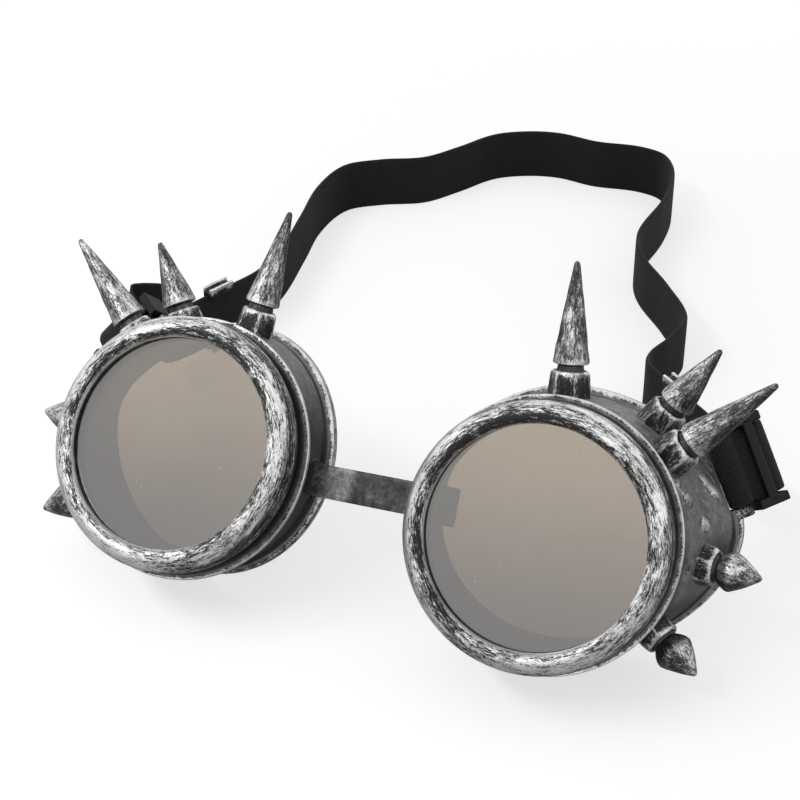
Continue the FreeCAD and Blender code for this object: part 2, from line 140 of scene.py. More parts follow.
turn_pitches = {"right": 0.0, "left": 38.0}

# Sizes that differ from the construction: window, strip and heads as measured in the photograph, a lower
# slot floor, ears that end inside the wall, and a dish in the top of each boss
window_radius = 25.8 * MM
strip_height = 8.1 * MM
head_height = 9.3 * MM
slot_floor = 0.8 * MM
lug_depth_in = 1.2 * MM
boss_dish = 0.45 * MM

# Points round each turned piece
ring_sides = 320
lens_sides = 160
cup_sides = 288
boss_sides = 96
spike_sides = 72

# Steepest angle between faces that is drawn smooth
smooth_angle = 38.0
boss_smooth_angle = 28.0
strap_smooth_angle = 60.0

# Clock angle from the top to the temple, depth and forward lean of each spike and stud on its cup
seats = {
    "spike_top": (-5.5, 0.657 * rim_depth, 7.4),
    "spike_brow_rear": (31.4, 0.839 * rim_depth, 12.8),
    "spike_brow_front": (46.0, 0.525 * rim_depth, 13.9),
    "stud_side": (90.7, 0.740 * rim_depth, 11.0),
    "stud_low": (122.4, 0.610 * rim_depth, 11.0),
}

# Rim drawn out beside the strap lug: rise, degrees up from the temple and width in degrees
flares = [(2.6 * MM, 12.0, 20.0), (-1.2 * MM, -42.0, 24.0)]

# Direction of the painted light: the side of each ring that faces it is painted lighter, as more polish
painted_light_from = np.array([-0.46, -0.30, 0.84])

# Worn round spots on the temple side: degrees up from the temple and share of the wall from lip to rim
spot_centres = [(34.0, 0.16), (26.0, 0.26), (32.5, 0.80), (27.0, 0.88), (14.5, 0.52), (-4.0, 0.28)]
spot_half = (3.3 * MM, 2.9 * MM)
# Half size of the painted shade round the foot of each boss
shade_half = (12.5 * MM, 12.5 * MM)
spot_rise = 0.45 * MM
wall_run = 18.0 * MM

# How far the silver is rubbed on, as polish, with painted shade and a painted highlight where noted below:
# places from 0 to 1 along a piece, and the polish there
crown_wear = ([0, .03, .08, .2, .35, .55, .8, .93, 1], [.2, 1.1, .85, .40, .40, .58, .66, .5, .0])
ledge_wear = ([0, .15, .4, .8, 1], [.0, .40, .50, .3, .0])
# The wall's polish falls below 0 at the lip and at the rim, painted shade in those creases
wall_wear_and_shade = ([0, .1, .3, .97, 1], [-.3, -.05, .2, .2, -.2])
# The bridge's table is a painted highlight, a reflection along the twisted strip
bridge_painted_highlight = ([.58, .62, .665, .80, .86], [0, .6, 1.1, .95, .3])

# Polish gained or lost round the cup: gained towards the brow as painted light, lost everywhere on the wall,
# lost towards the nose as painted shade, gained on the worn spots, lost round the feet of the bosses as
# painted shade, and gained up the rim
brow_angle = math.radians(70)
painted_brow_light = 0.40
wall_loss = 0.26
painted_nose_shade = 0.08
spot_gain = 0.62
painted_foot_shade = 0.34
rim_gain = 0.22

# Polish lost on the studs, more on the low stud as painted shade where it faces down, on the spikes and by
# the side, and painted light gained on the upper side of each
stud_loss_and_shade = {"stud_side": 0.14, "stud_low": 0.27}
spike_loss = 0.06
side_loss = {"right": 0.03, "left": -0.03}
painted_top_light = 0.18

# Polish of a whole ring, and the painted light that it gains on the side that faces the light direction above
ring_gain = {"right": 0.03, "left": 0.08}
painted_light_gain = 0.24

# Where the strap lies on the table, as shares across and back
right_run = ((0.50, 0.418), -40.0)
left_run = ((-0.925, 0.417), 70.0)
route_shares = [
    (0.37, 0.487), (0.395, 0.530), (0.405, 0.583), (0.30, 0.645), (0.17, 0.708),
    (0.118, 0.765), (0.125, 0.860), (0.10, 0.935), (0.03, 0.985), (-0.07, 0.997),
    (-0.22, 0.990), (-0.36, 0.996), (-0.47, 0.985), (-0.57, 0.958), (-0.65, 0.902),
    (-0.73, 0.855), (-0.86, 0.826), (-0.955, 0.792), (-0.97, 0.723), (-0.93, 0.640),
    (-0.89, 0.550),
]

joints = {joint["name"]: joint for joint in frame["joints"]}


# Frames
# A frame is (origin, rows): row i is the direction of its own axis i.

def turn_z(angle):
    """Rows of a frame turned by an angle about z: (cos, sin, 0), (-sin, cos, 0), (0, 0, 1)."""
    c, s = math.cos(math.radians(angle)), math.sin(math.radians(angle))
    return np.array([[c, s, 0], [-s, c, 0], [0, 0, 1]])


def turn_y(angle):
    """Rows of a frame turned by an angle about y: (cos, 0, -sin), (0, 1, 0), (sin, 0, cos)."""
    c, s = math.cos(math.radians(angle)), math.sin(math.radians(angle))
    return np.array([[c, 0, -s], [0, 1, 0], [s, 0, c]])


def inside(outer, origin, rows):
    """The frame (origin, rows), given in the frame `outer`, as seen from outside."""
    return outer[0] + np.asarray(origin) @ outer[1], rows @ outer[1]


def placed(points, where):
    """Points of a frame set in the row frame: origin plus coordinates times the frame's rows."""
    return where[0] + points @ where[1]


def cup_frame(side):
    """A cup's own frame (to the temple, back, up) at its lens centre, read from its joints."""
    ring_turn = joints[side + "_ring_turn"]
    back = -np.array(ring_turn["axis"], float)
    up = np.array(joints[side + "_cup_flex"]["axis"], float)
    temple = np.cross(back, up) * (1 if side == "right" else -1)
    return np.array(ring_turn["pos_m"], float), np.array([temple, back, up])


cups = {side: cup_frame(side) for side in ("right", "left")}
lens_middle = (cups["right"][0] + cups["left"][0]) / 2


def rim_reach(clock, inset=0.0):
    """Distance from the cup's axis to the rim oval at a clock angle: the root of its ellipse equation."""
    across, upward = np.sin(clock), np.cos(clock)
    wide = np.where(across > 0, rim_outer, rim_inner) - inset
    high = np.where(upward > 0, rim_top, rim_bottom) - inset
    a = (across / wide) ** 2 + (upward / high) ** 2
    b = -2 * upward * rim_lift / high ** 2
    c = (rim_lift / high) ** 2 - 1
    return (-b + np.sqrt(b * b - 4 * a * c)) / (2 * a)


def wall_reach(clock, depth):
    """Distance from the cup's axis to the outside of the wall: straight from the lip to the rim."""
    far = rim_reach(clock, rim_step)
    far_depth = rim_depth - rim_width + far * np.sin(clock) * math.tan(math.radians(rim_turn))
    return body_radius + (far - body_radius) * (depth - lip_back) / (far_depth - lip_back)


def seat_frame(name):
    """A spike's frame in its cup: foot on the wall, z out of it and leaning forward by the shortest turn."""
    clock, depth, lean = seats[name]
    a, tilt = math.radians(clock), math.radians(lean)
    outward = np.array([math.sin(a), 0.0, math.cos(a)])
    foot = outward * wall_reach(a, depth) + np.array([0, depth, 0])
    way = outward * math.cos(tilt) + np.array([0, -math.sin(tilt), 0])
    x, y, z = way
    rows = np.array([[1 - x * x / (1 + z), -x * y / (1 + z), -x],
                     [-x * y / (1 + z), 1 - y * y / (1 + z), -y],
                     way])
    return foot, rows


def lug_frame(side):
    """Frame of a strap lug: x out from the cup's axis, y back, z along the strap bar."""
    rim = inside(cups[side], (0, rim_depth, 0), turn_z(rim_turn))
    return inside(rim, (0, 0, 0), turn_y(lug_clock - 90))


lug_reach = float(rim_reach(math.radians(lug_clock)))
bar_centre = np.array([lug_reach + bar_standoff, -rim_width / 2, 0])


def tab_frame(side):
    """Frame of the strap at a lug: x out along the strap, y behind it, z up along the bar."""
    return inside(lug_frame(side), bar_centre, turn_z(swings[side]))


# Meshes

def round_angles(count):
    """Angles round one turn: 2 pi i / count."""
    return np.linspace(0, 2 * np.pi, count, endpoint=False)


def angle_from(a, degrees):
    """Angle from a place on the turn by the shorter way: (a - place + pi) modulo 2 pi, less pi."""
    return (a - math.radians(degrees) + np.pi) % (2 * np.pi) - np.pi


def run_along(points):
    """Length along a line up to each of its points: the running sum of its steps."""
    return np.concatenate([[0], np.cumsum(np.linalg.norm(np.diff(points, axis=0), axis=1))])


def turned(radius, depth, a):
    """A profile carried round the cup's axis: (radius cos a, depth, radius sin a)."""
    return np.stack([radius * np.cos(a), depth + 0 * a, radius * np.sin(a)], -1)


def shell(rows, loop=False, **values):
    """Closed skin over a grid of points whose columns run round; the rows close too, or end in poles."""
    count, around = rows.shape[:2]
    points = rows.reshape(-1, 3)
    index = np.arange(count * around).reshape(count, around)
    low = index if loop else index[:-1]
    high = np.roll(index, -1, axis=0) if loop else index[1:]
    quads = np.stack([low, np.roll(low, -1, 1), np.roll(high, -1, 1), high], -1).reshape(-1, 4)
    fans = np.zeros((0, 3), int)
    flat = {key: np.broadcast_to(value, rows.shape[:2] + value.shape[2:]).reshape(len(points), -1)
            for key, value in values.items()}
    if not loop:
        total = len(points)
        points = np.vstack([points, rows[0].mean(0), rows[-1].mean(0)])
        first, last = index[0], index[-1]
        fans = np.vstack([np.stack([np.roll(first, -1), first, np.full(around, total)], 1),
                          np.stack([last, np.roll(last, -1), np.full(around, total + 1)], 1)])
        flat = {key: np.vstack([v, v[first].mean(0), v[last].mean(0)]) for key, v in flat.items()}
    triangles = np.vstack([quads[:, [0, 1, 2]], quads[:, [0, 2, 3]], fans])
    centred = points - points.mean(0)
    a, b, c = (centred[triangles[:, i]] for i in range(3))
    if np.sum(a * np.cross(b, c)) < 0:
        quads, fans = quads[:, ::-1], fans[:, ::-1]
    return {"points": points, "quads": quads, "fans": fans, "values": flat}


def mesh_of(name, shells, crease=smooth_angle):
    """One mesh of several closed skins, smooth but for edges sharper than the crease angle."""
    starts = np.cumsum([0] + [len(s["points"]) for s in shells])
    faces = []
    for s, start in zip(shells, starts):
        faces += (s["quads"] + start).tolist() + (s["fans"] + start).tolist()
    mesh = bpy.data.meshes.new(name)
    mesh.from_pydata(np.vstack([s["points"] for s in shells]).tolist(), [], faces)
    for key in shells[0]["values"]:
        data = np.vstack([s["values"][key] for s in shells]).astype(np.float32)
        kind, field = ("FLOAT_VECTOR", "vector") if data.shape[1] == 3 else ("FLOAT", "value")
        mesh.attributes.new(key, kind, "POINT").data.foreach_set(field, data.ravel())
    mesh.polygons.foreach_set("use_smooth", np.ones(len(faces), bool))
    mesh.set_sharp_from_angle(angle=math.radians(crease))
    return mesh


def made(name, mesh, material):
    """A new object with one mesh and one finish."""
    thing = bpy.data.objects.new(name, mesh)
    bpy.context.scene.collection.objects.link(thing)
    thing.data.materials.append(material)
    return thing


def piece(name, skins, material, crease=smooth_angle):
    """A new object of closed skins in one finish."""
    return made(name, mesh_of(name, skins, crease), material)


def fitted(thing, body, slot, *nodes):
    """Seats a finished piece on its body and hides the solids it stands for; the slot, naming its finish, is
    not used.
    """
    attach(thing, body)
    if nodes:
        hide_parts(*nodes)
    return thing


def cut_out(thing, cutters):
    """Takes closed cutter skins out of a piece and keeps the result as its mesh."""
    for cutter in cutters:
        tool = bpy.data.objects.new("cutter", mesh_of("cutter", [cutter]))
        bpy.context.scene.collection.objects.link(tool)
        step = thing.modifiers.new("slot", "BOOLEAN")
        step.operation = "DIFFERENCE"
        step.solver = "EXACT"
        step.object = tool
        result = bpy.data.meshes.new_from_object(
            thing.evaluated_get(bpy.context.evaluated_depsgraph_get()))
        thing.modifiers.clear()
        thing.data = result
        bpy.data.objects.remove(tool)
    thing.data.polygons.foreach_set("use_smooth", np.ones(len(thing.data.polygons), bool))
    thing.data.set_sharp_from_angle(angle=math.radians(smooth_angle))


def finer(profile, step):
    """A profile with extra points so that none is further than a step from the next, corners kept."""
    profile = np.asarray(profile, float)
    run = run_along(profile[:, :2])
    places = np.unique(np.concatenate([run, np.arange(0, run[-1], step)]))
    places = places[np.concatenate([[True], np.diff(places) > 1e-7])]
    return np.stack([np.interp(places, run, profile[:, i]) for i in range(profile.shape[1])], 1)


def swell(start, end, rise, steps):
    """Half an oval between two points: start + (end - start)(1 - cos a)/2 + rise sin a."""
    a = np.linspace(0, np.pi, steps)[:, None]
    start, end, rise = (np.asarray(p, float) for p in (start, end, rise))
    return start + (end - start) * (1 - np.cos(a)) / 2 + rise * np.sin(a)


def box_section(half_x, half_y, soft, corner_steps=4):
    """Rounded rectangle as a closed loop: quarter circles of radius `soft` at its four corners."""
    a = np.linspace(0, np.pi / 2, corner_steps)
    quarter = np.stack([np.cos(a), np.sin(a)], 1) * soft
    parts = []
    for k, (sx, sy) in enumerate(((1, 1), (-1, 1), (-1, -1), (1, -1))):
        c, s = round(math.cos(k * math.pi / 2)), round(math.sin(k * math.pi / 2))
        turned_quarter = quarter @ np.array([[c, s], [-s, c]])
        parts.append(turned_quarter + np.array([sx * (half_x - soft), sy * (half_y - soft)]))
    return np.vstack(parts)


def rounded_bar(centre, half, soft, along=2, steps=9):
    """Bar with a rounded-rectangle section, carried along one axis; its ends draw in by a quarter circle."""
    others = [i for i in range(3) if i != along]
    section = box_section(half[others[0]], half[others[1]], soft)
    a = np.linspace(0, np.pi / 2, 4)
    draw = soft * 0.6
    inset = np.concatenate([draw * (1 - np.sin(a)), np.zeros(steps), draw * (1 - np.sin(a[::-1]))])
    reach = half[along]
    middle = np.linspace(-reach, reach, steps + 2)[1:-1]
    place = np.concatenate([-reach + draw * (1 - np.cos(a)), middle, reach - draw * (1 - np.cos(a[::-1]))])
    rows = np.zeros((len(place), len(section), 3))
    for k, i in enumerate(others):
        rows[:, :, i] = section[None, :, k] * (1 - inset[:, None] / half[i]) + centre[i]
    rows[:, :, along] = place[:, None] + centre[along]
    return rows


# Materials

def put(tree, kind, inputs=None, **settings):
    """A node with its settings and its sockets, each given a value or the output that feeds it."""
    new = tree.nodes.new(kind)
    for key, value in settings.items():
        setattr(new, key, value)
    for key, value in (inputs or {}).items():
        if isinstance(value, bpy.types.NodeSocket):
            tree.links.new(value, new.inputs[key])
        else:
            new.inputs[key].default_value = value
    return new


def maths(tree, operation, a, b=0.0):
    """One arithmetic step on one or two values."""
    return put(tree, "ShaderNodeMath", {0: a, 1: b}, operation=operation).outputs[0]


def weighted(tree, *terms):
    """Sum of values, each times its weight."""
    total = None
    for value, weight in terms:
        part = maths(tree, "MULTIPLY", value, weight)
        total = part if total is None else maths(tree, "ADD", total, part)
    return total


def opaque(colour, share=1.0):
    """A colour, darkened or lightened by a share, with full alpha."""
    return [c * share for c in colour] + [1]


def mixed(tree, share, a, b):
    """Colour a where share is 0 and b where it is 1."""
    return put(tree, "ShaderNodeMix", {0: share, 6: a, 7: b}, data_type="RGBA").outputs[2]


def eased(tree, value, low, high, to_low=0.0, to_high=1.0):
    """Smooth step of a value from low to high, mapped to two new ends."""
    return put(tree, "ShaderNodeMapRange", {0: value, 1: low, 2: high, 3: to_low, 4: to_high},
               interpolation_type="SMOOTHSTEP").outputs[0]


def grain_of(tree, name="grain"):
    """The piece's own attribute, as a node."""
    return put(tree, "ShaderNodeAttribute", attribute_name=name)


def new_group(name, inputs, outputs):
    """An empty shader group with named value, colour or vector sockets."""
    group = bpy.data.node_groups.new(name, "ShaderNodeTree")
    for label, kind in inputs:
        group.interface.new_socket(label, in_out="INPUT", socket_type=kind)
    for label, kind in outputs:
        group.interface.new_socket(label, in_out="OUTPUT", socket_type=kind)
    return group, group.nodes.new("NodeGroupInput"), group.nodes.new("NodeGroupOutput")


VALUE, VECTOR = "NodeSocketFloat", "NodeSocketVector"


def rubbed_silver_group():
    """Where rubbed-on silver shows over black: three noises, wide to fine, against a limit that falls as
    polish rises."""
    tree, given, out = new_group(
        "rubbed_silver", [("Grain", VECTOR), ("Polish", VALUE), ("Scale", VALUE), ("Softness", VALUE)],
        [("Mask", VALUE), ("Tone", VALUE), ("Height", VALUE)])
    layers = []
    for share, detail in ((0.12, 2.0), (0.55, 4.0), (1.6, 2.0)):
        layers.append(put(tree, "ShaderNodeTexNoise", {
            "Vector": given.outputs["Grain"], "Scale": maths(tree, "MULTIPLY", given.outputs["Scale"], share),
            "Detail": detail, "Roughness": 0.65, "Distortion": 0.4}).outputs[0])
    wide, fleck, speck = layers
    blend = weighted(tree, (fleck, 0.45), (speck, 0.25), (wide, 0.3))
    limit = put(tree, "ShaderNodeMapRange", {
        0: given.outputs["Polish"], 1: 0.0, 2: 1.0, 3: 0.66, 4: 0.36}).outputs[0]
    over = maths(tree, "DIVIDE", maths(tree, "SUBTRACT", blend, limit), given.outputs["Softness"])
    mask = maths(tree, "POWER", eased(tree, over, -1.0, 1.0), 1.5)
    tone = eased(tree, weighted(tree, (speck, 0.6), (wide, 0.4)), 0.34, 0.66)
    height = weighted(tree, (mask, 0.6), (speck, 0.4))
    for label, value in (("Mask", mask), ("Tone", tone), ("Height", height)):
        tree.links.new(value, out.inputs[label])
    return tree


def weave_group():
    """Narrow elastic: ribs along the strap and picks across them, as the product of two sine waves."""
    tree, given, out = new_group(
        "elastic_weave", [("Along", VALUE), ("Across", VALUE)], [("Height", VALUE), ("Shade", VALUE)])
    rib_pitch = 1.05 * MM
    pick_pitch = 1.15 * MM
    ribs = maths(tree, "SINE", maths(tree, "MULTIPLY", given.outputs["Across"], 2 * math.pi / rib_pitch))
    half_turn = maths(tree, "MULTIPLY", maths(tree, "SIGN", ribs), math.pi / 2)
    picks = maths(tree, "SINE", maths(tree, "ADD", maths(
        tree, "MULTIPLY", given.outputs["Along"], 2 * math.pi / pick_pitch), half_turn))
    height = weighted(tree, (maths(tree, "ABSOLUTE", ribs), 0.55), (picks, 0.3))
    tree.links.new(height, out.inputs["Height"])
    tree.links.new(eased(tree, height, -0.1, 0.85), out.inputs["Shade"])
    return tree


rubbed_silver = rubbed_silver_group()
elastic_weave = weave_group()


def blank_material(name, **constants):
    """A material with constants set on its shader's own sockets."""
    material = bpy.data.materials.new(name)
    material.use_nodes = True
    tree = material.node_tree
    shader = tree.nodes["Principled BSDF"]
    for key, value in constants.items():
        shader.inputs[key.replace("_", " ")].default_value = value
    return material, tree, shader


def feed(tree, shader, **links):
    """Links values to the shader's sockets."""
    for key, value in links.items():
        tree.links.new(value, shader.inputs[key.replace("_", " ")])


def bumped(tree, height, strength, distance):
    """Normal of a skin raised by a height."""
    return put(tree, "ShaderNodeBump", {
        "Strength": strength, "Distance": distance, "Height": height}).outputs[0]


def silver_over(name, dark, silver, scale, softness,
                bump=0.35, shine=(0.42, 0.30), metals=(0.0, 0.9), shade_and_patina=1.0):
    """Antique finish: silver rubbed over a dark coat where the piece's own polish attribute lets it show. The
    coat in the recesses of well rubbed places, where it is patina, and where polish is below 0, where it is
    painted shade, is darker by the given share."""
    material, tree, shader = blank_material(name, IOR=1.5, Specular_IOR_Level=0.32)
    rub = put(tree, "ShaderNodeGroup", node_tree=rubbed_silver)
    tree.links.new(grain_of(tree).outputs["Vector"], rub.inputs["Grain"])
    polish = grain_of(tree, "polish").outputs["Fac"]
    tree.links.new(polish, rub.inputs["Polish"])
    rub.inputs["Scale"].default_value = scale
    rub.inputs["Softness"].default_value = softness
    mask, tone = rub.outputs["Mask"], rub.outputs["Tone"]
    under = mixed(tree, tone, opaque(dark, 0.55), opaque(dark, 1.8))
    if shade_and_patina < 1.0:
        black = opaque(dark, shade_and_patina)
        under = mixed(tree, eased(tree, polish, -0.3, 0.1), black, under)
        under = mixed(tree, eased(tree, polish, 0.28, 0.55), under, black)
    over = mixed(tree, tone, opaque(silver, 0.5), opaque(silver))
    feed(tree, shader, Base_Color=mixed(tree, mask, under, over),
         Metallic=eased(tree, mask, 0.0, 1.0, *metals),
         Roughness=eased(tree, mask, 0.0, 1.0, *shine),
         Normal=bumped(tree, rub.outputs["Height"], bump, 0.15 * MM))
    return material


def strap_material():
    """Black elastic: the weave raises it and darkens its hollows as painted shade, and a fine noise adds
    paler fuzz.
    """
    shaded_hollow = (0.007, 0.007, 0.0073)
    crown = (0.022, 0.022, 0.0228)
    fuzz_colour = (0.034, 0.034, 0.035)
    material, tree, shader = blank_material(
        "black_elastic", Roughness=0.86, Sheen_Weight=0.06, Sheen_Roughness=0.5, Specular_IOR_Level=0.3)
    weave = put(tree, "ShaderNodeGroup", node_tree=elastic_weave)
    tree.links.new(grain_of(tree, "along").outputs["Fac"], weave.inputs["Along"])
    tree.links.new(grain_of(tree, "across").outputs["Fac"], weave.inputs["Across"])
    fuzz = put(tree, "ShaderNodeTexNoise", {
        "Vector": put(tree, "ShaderNodeTexCoord").outputs["Object"], "Scale": 900.0, "Detail": 3.0})
    # Painted shade: the weave's hollows are darker than its crowns
    shade = mixed(tree, weave.outputs["Shade"], opaque(shaded_hollow), opaque(crown))
    worn = mixed(tree, eased(tree, fuzz.outputs[0], 0.45, 0.75, 0.0, 0.3), shade, opaque(fuzz_colour))
    feed(tree, shader, Base_Color=worn, Normal=bumped(tree, weave.outputs["Height"], 0.7, 0.18 * MM))
    return material


def speckled(name, low, high, scale, rough, bump, **constants):
    """Plain moulded finish: a noise shifts colour and roughness a little and stipples the skin."""
    material, tree, shader = blank_material(name, **constants)
    place = put(tree, "ShaderNodeTexCoord").outputs["Object"]
    noise = put(tree, "ShaderNodeTexNoise", {"Vector": place, "Scale": scale, "Detail": 4.0}).outputs[0]
    feed(tree, shader, Base_Color=mixed(tree, eased(tree, noise, 0.35, 0.68), opaque(low), opaque(high)),
         Roughness=eased(tree, noise, 0.3, 0.7, *rough),
         Normal=bumped(tree, noise, bump, 0.1 * MM))
    return material


def lens_material():
    """Tinted glass with a faint mirror coat, its tint paler towards its top as painted light and darker
    towards its
    bottom as painted shade: a bloom moves the roughness a little, and dust specks lighten it."""
    # Painted shade at the lens's bottom and painted light at its top
    shaded_low_tint = (0.090, 0.063, 0.050)
    lit_top_tint = (0.285, 0.215, 0.138)
    dust_colour = (0.8, 0.78, 0.74)
    material, tree, shader = blank_material(
        "taupe_lens", Transmission_Weight=1.0, IOR=1.3, Coat_Weight=1.0, Coat_IOR=2.5, Coat_Roughness=0.12)
    place = put(tree, "ShaderNodeTexCoord").outputs["Object"]
    noise = put(tree, "ShaderNodeTexNoise", {"Vector": place, "Scale": 60.0, "Detail": 5.0})
    speck = put(tree, "ShaderNodeTexNoise", {"Vector": place, "Scale": 1400.0, "Detail": 1.0})
    dust = eased(tree, speck.outputs[0], 0.74, 0.80, 0.0, 0.5)
    rise = eased(tree, maths(tree, "ADD", grain_of(tree, "rise").outputs["Fac"], maths(
        tree, "MULTIPLY", noise.outputs[0], 0.3)), -0.8, 1.1)
    tint = mixed(tree, rise, opaque(shaded_low_tint), opaque(lit_top_tint))
    feed(tree, shader, Base_Color=mixed(tree, dust, tint, opaque(dust_colour)),
         Roughness=eased(tree, noise.outputs[0], 0.3, 0.7, 0.0, 0.05))
    return material


ring_finish = silver_over("ring_silver", (0.014, 0.014, 0.0145), (0.98, 0.98, 0.97), 4800.0, 0.068)
cup_finish = silver_over("cup_silver", (0.22, 0.215, 0.226), (0.95, 0.95, 0.94), 3200.0, 0.055,
                         bump=0.2, shine=(0.34, 0.34), shade_and_patina=0.12)
boss_finish = silver_over("boss_silver", (0.014, 0.014, 0.0145), (0.86, 0.86, 0.85), 3600.0, 0.09)
spike_finish = silver_over("spike_silver", (0.050, 0.050, 0.051), (0.90, 0.90, 0.89), 4000.0, 0.10,
                           bump=0.3, shine=(0.34, 0.30), metals=(0.6, 0.9))
# Slide: a dark coat stands in for the dark reflections of polished steel, a painted reflection; bright steel
# shows only where polished
slide_dark_reflection_finish = silver_over("slide_steel", (0.008, 0.008, 0.0085), (0.95, 0.95, 0.95), 1200.0, 0.10,
                           bump=0.05, shine=(0.3, 0.14), metals=(0.2, 1.0))
strap_finish = strap_material()
slider_finish = speckled("slider_black", (0.005, 0.005, 0.0055), (0.011, 0.011, 0.012), 700.0,
                         (0.46, 0.6), 0.12, Specular_IOR_Level=0.28)
# On the bridge the pale colour over the black is a painted highlight, a reflection along the twisted strip,
# not silver
bridge_finish = silver_over("bridge_black", (0.036, 0.0365, 0.038), (0.78, 0.782, 0.788), 420.0, 0.36,
                            bump=0.05, shine=(0.36, 0.26), metals=(0.0, 0.1))
gasket_finish = speckled("gasket_black", (0.010, 0.010, 0.010), (0.018, 0.018, 0.018), 600.0,
                         (0.6, 0.75), 0.2)
lens_finish = lens_material()


# Pieces

def front_ring(side):
    """Ring profile (radius, depth) carried round the cup's axis; crown and second step are half ovals."""
    crown_steps = 40
    ledge_steps = 14
    grain_draw = 0.24 * window_radius
    crown = swell((window_radius, -seat_gap - ring_lip), crown_end, (0, -ring_rise), crown_steps)
    ledge = swell(waist, shoulder, (ring_step_rise, 0), ledge_steps)
    crown_polish = np.interp(np.linspace(0, 1, crown_steps), *crown_wear)
    ledge_polish = np.interp(np.linspace(0, 1, ledge_steps), *ledge_wear)
    corners = [[window_radius, -seat_gap, 0.0]]
    corners += np.column_stack([crown, crown_polish]).tolist()
    corners += np.column_stack([ledge, ledge_polish]).tolist()
    corners += [[skirt_radius, skirt_start, 0.0], [skirt_radius, ring_depth, 0.0],
                [ring_bore, ring_depth, 0.0], [ring_bore, -seat_gap, 0.0]]
    profile = finer(corners, 0.6 * MM)
    run = run_along(profile[:, :2])
    a = round_angles(ring_sides)
    radius, depth, polish = (profile[:, i:i + 1] for i in range(3))
    rows = turned(radius, depth, a)
    grain = turned(grain_draw + 0 * radius, run[:, None], a)
    # Painted light: the half of the crown that faces the light direction gains polish, the half turned away
    # loses it
    facing = np.cos(a) * (cups[side][1][0] @ painted_light_from) + np.sin(a) * (cups[side][1][2] @ painted_light_from)
    crown_width = crown_end[0] - window_radius
    lean = np.clip((radius - (window_radius + crown_end[0]) / 2) / crown_width * 2, -1, 1)
    rubbed = ring_gain[side] + 0.12 * np.sin(2 * a + 0.6) * np.sin(a - 0.5)
    worn = polish + (rubbed + painted_light_gain * lean * facing) * (polish > 0.2)
    skin = shell(placed(rows, cups[side]), True, polish=worn, grain=grain)
    fitted(piece(side + "_ring", [skin], ring_finish), side + "_ring", "antique_silver", side + "_front_ring")


def lens(side):
    """Flat disc: a rounded profile carried round the axis, front face at the lens plane."""
    edge = 0.25 * MM
    face = [0.2 * lens_radius, 0.7 * lens_radius, lens_radius - edge]
    radius = np.array(face + [lens_radius, lens_radius] + face[::-1])[:, None]
    depth = np.array([0, 0, 0, edge, lens_thickness - edge] + [lens_thickness] * len(face))[:, None]
    rows = turned(radius, depth, round_angles(lens_sides))
    # The rise attribute, the height across the lens, sets where its tint is painted: painted light at the
    # top, painted shade at the bottom
    skin = shell(placed(rows, cups[side]), rise=rows[:, :, 2] / lens_radius)
    disc = piece(side + "_tinted_lens", [skin], lens_finish)
    fitted(disc, side + "_lens_pack", "lens_tint", side + "_lens")


def round_row(radius, depth, polish):
    """Row of the cup that is a circle round its axis."""
    return [radius, radius, radius, radius, depth, 0.0, 0.0, polish]


def wall_row(share, inset, polish):
    """Row of the tapered wall, a share of the way from the round lip to the oval rim."""
    reach = [(1 - share) * body_radius + share * (half - rim_step) - inset
             for half in (rim_outer, rim_inner, rim_top, rim_bottom)]
    return reach + [(1 - share) * lip_back + share * (rim_depth - rim_width), share * rim_lift,
                    share * rim_turn, polish]


def rim_row(inset, ahead, polish):
    """Row of the rim's oval, inset from its outline and ahead of its back face."""
    return [rim_outer - inset, rim_inner - inset, rim_top - inset, rim_bottom - inset,
            rim_depth - ahead, rim_lift, rim_turn, polish]


def oval_rows(stations, a):
    """Each row is four quarter ellipses round the axis, turned about the upright and set back and up."""
    outer, inner, top, bottom, back, lift, turn = (stations[:, i:i + 1] for i in range(7))
    x = np.where(np.cos(a) > 0, outer, inner) * np.cos(a)
    z = np.where(np.sin(a) > 0, top, bottom) * np.sin(a)
    angle = np.radians(turn)
    return np.stack([x * np.cos(angle), back + x * np.sin(angle), z + lift], -1)


def lug_flare(a):
    """How far the rim is drawn out by the strap lug, and in further down: two bells round the cup."""
    return sum(rise * np.exp(-angle_from(a, place) ** 2 / math.radians(width) ** 2)
               for rise, place, width in flares)


def wall_spots(share, a, centres, half):
    """Round spots on the wall: a bell, cos squared of the distance, at each centre (degrees up from the
    temple, share of the wall)."""
    widening = 1.12
    total = 0 * (share + a)
    for clock, place in centres:
        round_off = angle_from(a, clock) * body_radius * widening / half[0]
        away = np.hypot(round_off, (share - place) * wall_run / half[1])
        total = total + np.cos(np.minimum(away, 1) * np.pi / 2) ** 2
    return total


def cup_slots(side):
    """The two cutters of a cup: a rounded block where the strip goes through, one where the strap does."""
    soft = 0.2 * MM
    strip_half = ((cup_wall + 5 * MM) / 2, strip_thickness / 2 + strip_play, strip_height / 2 + strip_play)
    strip_x = -float(wall_reach(-math.pi / 2, strip_depth)) + cup_wall / 2
    strip_slot = rounded_bar((strip_x, strip_depth, strip_lift), strip_half, soft)
    lug_half = ((bar_standoff + slot_floor + ear_margin) / 2, rim_width, strap_width / 2 + free_gap)
    lug_slot = rounded_bar((lug_reach - slot_floor + lug_half[0], -rim_width / 2, 0), lug_half, soft)
    return [shell(placed(strip_slot, cups[side])), shell(placed(lug_slot, lug_frame(side)))]


